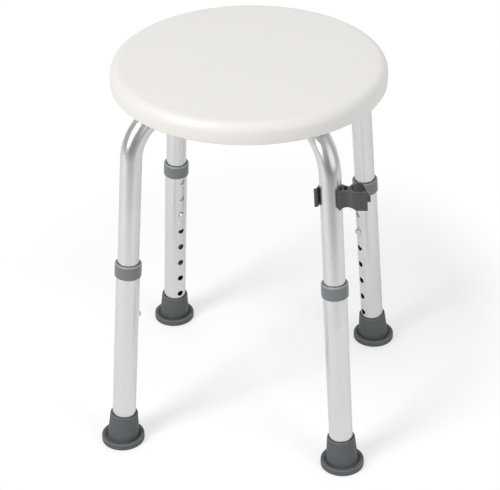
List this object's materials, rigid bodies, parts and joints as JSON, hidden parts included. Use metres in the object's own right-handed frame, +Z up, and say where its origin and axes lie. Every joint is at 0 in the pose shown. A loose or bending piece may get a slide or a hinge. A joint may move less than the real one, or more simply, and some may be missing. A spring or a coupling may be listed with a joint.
{
  "type": "shower stool",
  "caption": "Round white shower stool on splayed telescopic aluminium legs with spring buttons, grey collars and rubber feet, and a clip-on hand shower holder.",
  "frame": {"origin": "on the floor, under the middle of the seat", "axes": "+Z up, -Y the front of the stool, +X to the right of someone who looks at the front; the legs stand on the diagonals"},
  "size_m": [0.322, 0.322, 0.458],
  "materials": {
    "seat_plastic": "satin white blow-moulded polyethylene with a fine grain",
    "aluminium": "satin anodised, drawn lengthwise",
    "collar_plastic": "grey moulded plastic",
    "foot_rubber": "grey moulded rubber",
    "dark_plastic": "dark grey moulded plastic",
    "steel": "zinc-plated or stainless",
    "brass": "machined"
  },
  "bodies": {
    "stool": {"seat_shell": "seat_plastic", "frame_tube_upper": "aluminium", "frame_tube_lower": "aluminium", "centre_bolt": "steel", "centre_nut": "steel", "seat_insert_front_left": "brass", "seat_screw_front_left": "steel", "screw_knob_front_left": "dark_plastic", "saddle_washer_front_left": "dark_plastic", "snap_spring_front_left": "steel", "seat_insert_front_right": "brass", "seat_screw_front_right": "steel", "screw_knob_front_right": "dark_plastic", "saddle_washer_front_right": "dark_plastic", "snap_spring_front_right": "steel", "seat_insert_rear_left": "brass", "seat_screw_rear_left": "steel", "screw_knob_rear_left": "dark_plastic", "saddle_washer_rear_left": "dark_plastic", "snap_spring_rear_left": "steel", "seat_insert_rear_right": "brass", "seat_screw_rear_right": "steel", "screw_knob_rear_right": "dark_plastic", "saddle_washer_rear_right": "dark_plastic", "snap_spring_rear_right": "steel"},
    "leg_front_left": {"lower_tube_front_left": "aluminium", "collar_front_left": "collar_plastic", "foot_front_left": "foot_rubber", "foot_washer_front_left": "steel"},
    "leg_front_right": {"lower_tube_front_right": "aluminium", "collar_front_right": "collar_plastic", "foot_front_right": "foot_rubber", "foot_washer_front_right": "steel"},
    "leg_rear_left": {"lower_tube_rear_left": "aluminium", "collar_rear_left": "collar_plastic", "foot_rear_left": "foot_rubber", "foot_washer_rear_left": "steel"},
    "leg_rear_right": {"lower_tube_rear_right": "aluminium", "collar_rear_right": "collar_plastic", "foot_rear_right": "foot_rubber", "foot_washer_rear_right": "steel"},
    "button_front_left": {"snap_button_front_left": "steel"},
    "button_front_right": {"snap_button_front_right": "steel"},
    "button_rear_left": {"snap_button_rear_left": "steel"},
    "button_rear_right": {"snap_button_rear_right": "steel"},
    "holder": {"shower_holder": "dark_plastic"}
  },
  "joints": [
    {"name": "leg_slide_front_left", "type": "slide", "parent": "stool", "child": "leg_front_left", "axis": [-0.0589, -0.0589, -0.9965], "range_m": [-0.127, 0.0508], "deforming": ["snap_button_front_left", "snap_spring_front_left"]},
    {"name": "leg_slide_front_right", "type": "slide", "parent": "stool", "child": "leg_front_right", "axis": [0.0589, -0.0589, -0.9965], "range_m": [-0.0762, 0.0508], "deforming": ["snap_button_front_right", "snap_spring_front_right"]},
    {"name": "leg_slide_rear_left", "type": "slide", "parent": "stool", "child": "leg_rear_left", "axis": [-0.0589, 0.0589, -0.9965], "range_m": [-0.127, 0.0508], "deforming": ["snap_button_rear_left", "snap_spring_rear_left"]},
    {"name": "leg_slide_rear_right", "type": "slide", "parent": "stool", "child": "leg_rear_right", "axis": [0.0589, 0.0589, -0.9965], "range_m": [-0.127, 0.0508], "deforming": ["snap_button_rear_right", "snap_spring_rear_right"]},
    {"name": "button_press_front_left", "type": "slide", "parent": "stool", "child": "button_front_left", "axis": [-0.7046, -0.7046, 0.0833], "range_m": [0, 0.0063], "stiffness_N_per_m": 1500, "springref_m": -0.003, "deforming": ["snap_spring_front_left"]},
    {"name": "button_press_front_right", "type": "slide", "parent": "stool", "child": "button_front_right", "axis": [0.7046, -0.7046, 0.0833], "range_m": [0, 0.0063], "stiffness_N_per_m": 1500, "springref_m": -0.003, "deforming": ["snap_spring_front_right"]},
    {"name": "button_press_rear_left", "type": "slide", "parent": "stool", "child": "button_rear_left", "axis": [-0.7046, 0.7046, 0.0833], "range_m": [0, 0.0063], "stiffness_N_per_m": 1500, "springref_m": -0.003, "deforming": ["snap_spring_rear_left"]},
    {"name": "button_press_rear_right", "type": "slide", "parent": "stool", "child": "button_rear_right", "axis": [0.7046, 0.7046, 0.0833], "range_m": [0, 0.0063], "stiffness_N_per_m": 1500, "springref_m": -0.003, "deforming": ["snap_spring_rear_right"]},
    {"name": "holder_swivel", "type": "hinge", "parent": "stool", "child": "holder", "pos_m": [0.11407, -0.11407, 0.35619], "axis": [-0.0589, 0.0589, 0.9965], "continuous": true}
  ]
}
